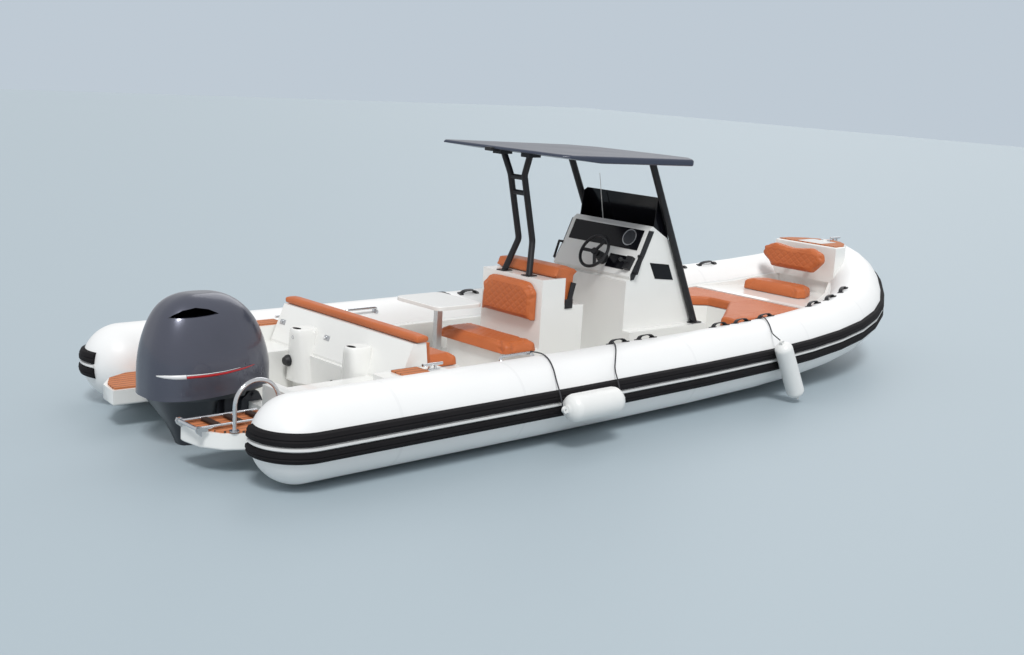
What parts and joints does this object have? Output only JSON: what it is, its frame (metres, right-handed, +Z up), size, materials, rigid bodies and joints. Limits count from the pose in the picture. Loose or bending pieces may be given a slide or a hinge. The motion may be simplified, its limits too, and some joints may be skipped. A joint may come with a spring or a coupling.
{
  "type": "rigid inflatable boat",
  "caption": "Rigid inflatable boat with a white tube, white hull, helm console, hardtop, caramel seats, swim platforms, ladder and a tilting, steering outboard motor.",
  "frame": {"origin": "on the waterline, on the centreline at the transom's aft face", "axes": "+X forward to the bow, +Y to port, +Z up"},
  "size_m": [8.316, 3.276, 2.8943],
  "materials": {
    "tube_white": "satin coated fabric",
    "strake_black": "satin",
    "stripe_white": "satin",
    "gelcoat_white": "gloss gelcoat",
    "caramel_foam": "brushed foam with dark lines",
    "caramel_leather": "quilted marine leather",
    "polished_steel": "polished",
    "black_frame": "satin black",
    "black_plastic": "matt",
    "navy_gelcoat": "gloss gelcoat",
    "brushed_alloy": "brushed",
    "tinted_glass": "tinted",
    "antenna_white": "gloss",
    "handle_rubber": "matt",
    "fender_rubber": "satin",
    "rope": "braided",
    "motor_charcoal": "gloss metallic",
    "bracket_metal": "satin grey",
    "iron": "painted",
    "prop_metal": "brushed"
  },
  "bodies": {
    "hull": {"aft_backrest": "caramel_leather", "aft_seat_cushion": "caramel_leather", "antenna": "antenna_white", "backrest_bracket": "black_frame", "bench_cushions": "caramel_leather", "bolster_hinges": "black_frame", "bow_backrest": "caramel_leather", "bow_cushion": "caramel_leather", "bow_decking": "caramel_foam", "bow_seat_pads": "caramel_leather", "bow_step": "gelcoat_white", "clamp_bracket": "bracket_metal", "console": "gelcoat_white", "console_glass": "tinted_glass", "console_rails": "black_frame", "dash_panels": "black_plastic", "deck_fittings": "polished_steel", "deck_liner": "gelcoat_white", "deck_pads": "caramel_foam", "fender_aft": "fender_rubber", "fender_fore": "fender_rubber", "fender_line_aft": "rope", "fender_line_fore": "rope", "fender_line_middle": "rope", "front_legs": "black_frame", "grab_arch": "polished_steel", "hardtop": "navy_gelcoat", "helm_bolster": "caramel_leather", "helm_controls": "black_plastic", "hull": "gelcoat_white", "ladder_hinge": "polished_steel", "locker_hinge": "polished_steel", "quarter_blocks": "gelcoat_white", "rear_mast": "black_frame", "rigging_gland": "black_plastic", "rub_strakes": "strake_black", "seat_module": "gelcoat_white", "stern_bench": "gelcoat_white", "stern_bolster": "caramel_leather", "stern_lamp": "black_plastic", "strake_stripe": "stripe_white", "swim_platforms": "gelcoat_white", "table_pedestal": "brushed_alloy", "table_top": "gelcoat_white", "tilt_cylinder": "bracket_metal", "towing_eyes": "polished_steel", "tube_collar": "tube_white", "tube_handles": "handle_rubber", "vent_hoods": "gelcoat_white"},
    "tilt": {"swivel_bracket": "bracket_metal"},
    "steer": {"leg_housing": "motor_charcoal", "gearcase": "motor_charcoal", "lower_cowl": "motor_charcoal", "top_cowl": "motor_charcoal", "powerhead": "iron"},
    "propeller": {"propeller": "prop_metal"},
    "tilt_rod": {"tilt_rod": "bracket_metal"},
    "helm_wheel": {"steering_wheel": "black_plastic"},
    "ladder": {"boarding_ladder": "polished_steel"},
    "anchor_lid": {"anchor_locker_lid": "gelcoat_white"}
  },
  "joints": [
    {"name": "outboard_tilt", "type": "hinge", "parent": "hull", "child": "tilt", "pos_m": [0.035, 0, 0.325], "axis": [0, 1, 0], "range_deg": [-4, 65]},
    {"name": "outboard_steer", "type": "hinge", "parent": "tilt", "child": "steer", "pos_m": [-0.165, 0, 0.3], "axis": [0, 0, 1], "range_deg": [-30, 30]},
    {"name": "propeller_spin", "type": "hinge", "parent": "steer", "child": "propeller", "pos_m": [-0.72, 0, -0.575], "axis": [1, 0, 0], "continuous": true},
    {"name": "tilt_ram", "type": "slide", "parent": "hull", "child": "tilt_rod", "axis": [-0.2421, 0, 0.9703], "range_m": [-0.0125, 0.1935]},
    {"name": "helm_steer", "type": "hinge", "parent": "hull", "child": "helm_wheel", "pos_m": [3.4722, -0.1, 1.1811], "axis": [0.8517, 0, -0.5241], "range_deg": [-600, 600]},
    {"name": "ladder_swing", "type": "hinge", "parent": "hull", "child": "ladder", "pos_m": [-0.74, -0.64, 0.332], "axis": [0, -1, 0], "range_deg": [0, 262]},
    {"name": "anchor_lid_hinge", "type": "hinge", "parent": "hull", "child": "anchor_lid", "pos_m": [7.11, 0, 1.099], "axis": [0, 1, 0], "range_deg": [0, 100]}
  ],
  "couplings": [
    {"joint": "tilt_ram", "follows": "outboard_tilt", "m_per_rad": 0.1675},
    {"joint": "helm_steer", "follows": "outboard_steer", "ratio": 20}
  ]
}
